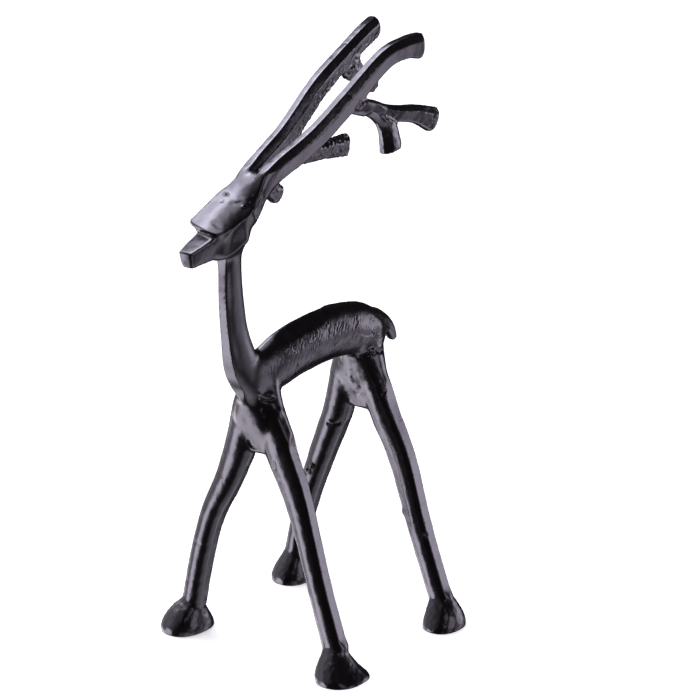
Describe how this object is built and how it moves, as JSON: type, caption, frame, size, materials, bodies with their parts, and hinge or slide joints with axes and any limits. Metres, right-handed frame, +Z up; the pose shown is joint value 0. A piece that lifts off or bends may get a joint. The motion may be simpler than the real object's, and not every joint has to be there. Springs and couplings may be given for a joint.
{
  "type": "reindeer figurine",
  "caption": "Slender long-legged reindeer figure in dark cast metal, with a wedge-shaped head and swept-back branching antlers, standing on its flared hooves.",
  "frame": {"origin": "on the ground plane that the hooves stand on, under the middle of the bounding box", "axes": "+Z up, the animal faces -Y, its left side is +X"},
  "size_m": [0.1632, 0.2224, 0.3991],
  "materials": {
    "black_metal": "near-black satin-gloss coating over filed cast aluminium"
  },
  "bodies": {
    "root": {"reindeer": "black_metal"}
  },
  "joints": []
}
